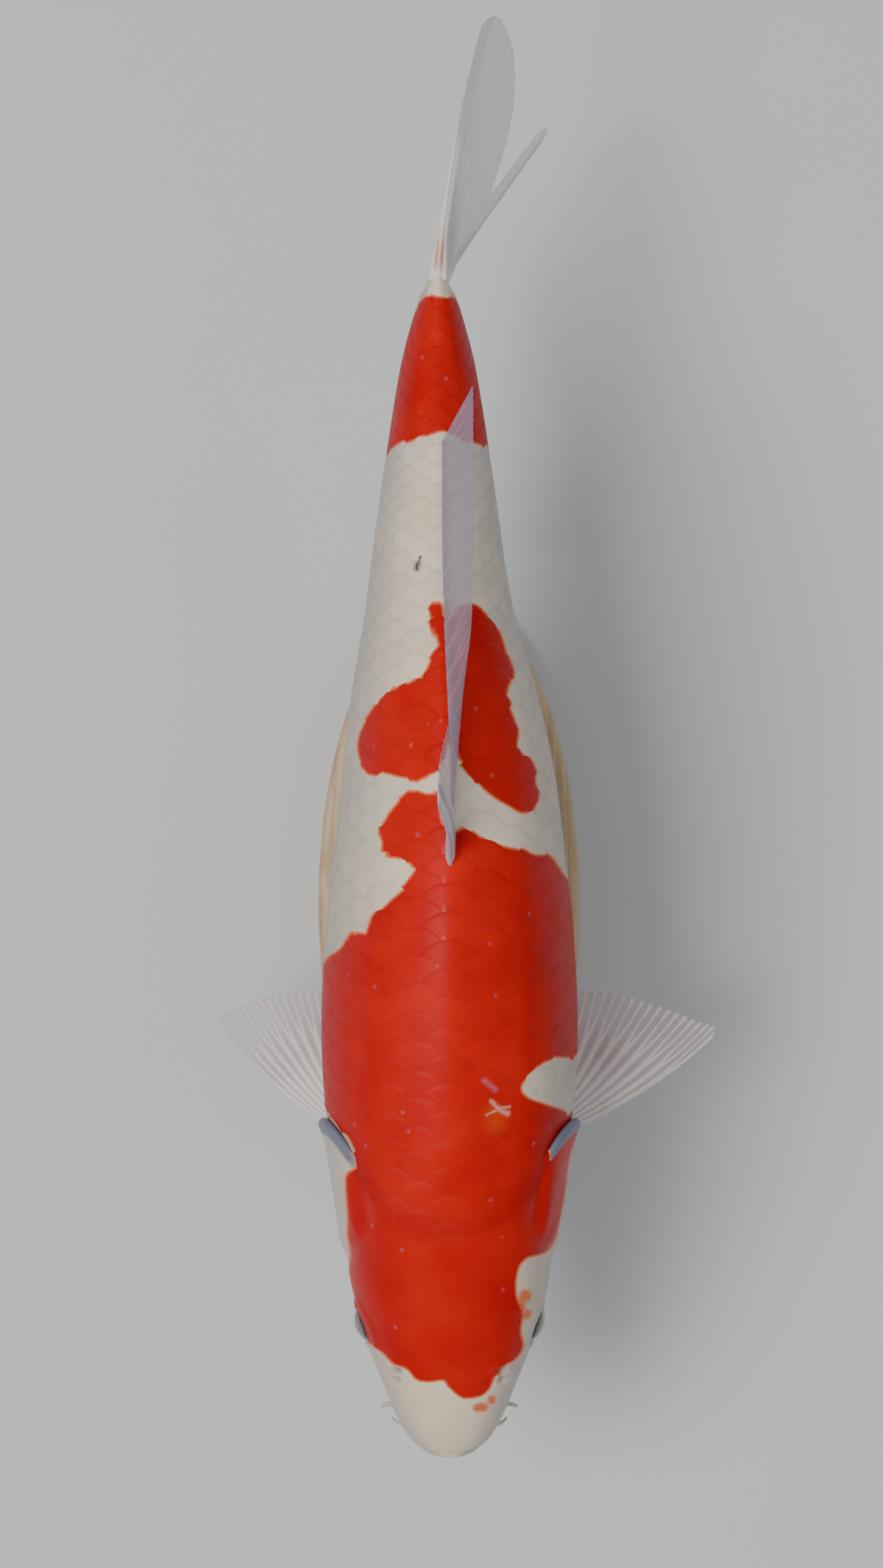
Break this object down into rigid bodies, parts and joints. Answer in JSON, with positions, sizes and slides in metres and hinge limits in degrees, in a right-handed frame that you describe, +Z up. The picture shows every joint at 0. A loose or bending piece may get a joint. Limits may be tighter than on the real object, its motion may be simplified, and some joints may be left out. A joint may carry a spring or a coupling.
{
  "type": "koi carp",
  "caption": "Life-size white and red koi carp swimming level with its fins spread, held above an oval wooden base by short steel rods.",
  "frame": {"origin": "middle of the flat underside of the stand's oval base", "axes": "+Z up; the snout points to -Y and the tail to +Y; +X is the fish's left side"},
  "size_m": [0.2301, 0.6325, 0.2931],
  "materials": {
    "skin": "gloss",
    "fin": "satin",
    "eye": "gloss",
    "barbel": "satin",
    "wood": "satin",
    "steel": "satin",
    "pad": "matte"
  },
  "bodies": {
    "root": {"head": "skin", "trunk_front": "skin", "trunk_rear": "skin", "tail_stalk": "skin", "gill_cover_left": "skin", "gill_cover_right": "skin", "tail_fin_upper": "fin", "tail_fin_lower": "fin", "dorsal_fin": "fin", "anal_fin": "fin", "pectoral_fin_left": "fin", "pectoral_fin_right": "fin", "pelvic_fin_left": "fin", "pelvic_fin_right": "fin", "eye_left": "eye", "eye_right": "eye", "barbel_upper_left": "barbel", "barbel_upper_right": "barbel", "barbel_lower_left": "barbel", "barbel_lower_right": "barbel", "stand_base": "wood", "stand_rod_front": "steel", "stand_rod_rear": "steel", "stand_collar_front": "steel", "stand_collar_rear": "steel", "stand_pad_front": "pad", "stand_pad_rear": "pad"}
  },
  "joints": []
}
